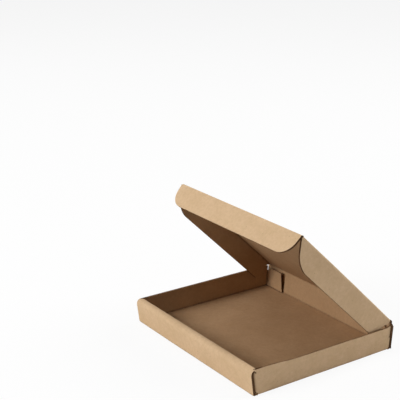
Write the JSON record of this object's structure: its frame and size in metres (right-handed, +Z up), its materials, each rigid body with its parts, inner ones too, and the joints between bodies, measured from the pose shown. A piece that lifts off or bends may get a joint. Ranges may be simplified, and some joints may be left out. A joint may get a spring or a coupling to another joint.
{
  "type": "folding shipping box",
  "caption": "Shallow folding shipping box of brown fluted board, folded from one sheet, with a hinged lid standing half open and a tuck flap.",
  "frame": {"origin": "middle of the tray's underside, on the surface that the box stands on", "axes": "+X along the hinge crease, +Y from the front wall to the back wall that carries the lid, +Z up"},
  "size_m": [0.15, 0.134, 0.1093],
  "materials": {
    "kraft_board": "matte brown kraft paper over fluted board"
  },
  "bodies": {
    "tray": {"tray": "kraft_board"},
    "lid": {"lid": "kraft_board"},
    "tuck_flap": {"tuck_flap": "kraft_board"}
  },
  "joints": [
    {"name": "lid_hinge", "type": "hinge", "parent": "tray", "child": "lid", "pos_m": [0, 0.067, 0.0211], "axis": [-1, 0, 0], "range_deg": [-43.8, 136.2]},
    {"name": "tuck_flap_fold", "type": "hinge", "parent": "lid", "child": "tuck_flap", "pos_m": [0, -0.02502, 0.10935], "axis": [-1, 0, 0], "range_deg": [0, 90]}
  ]
}
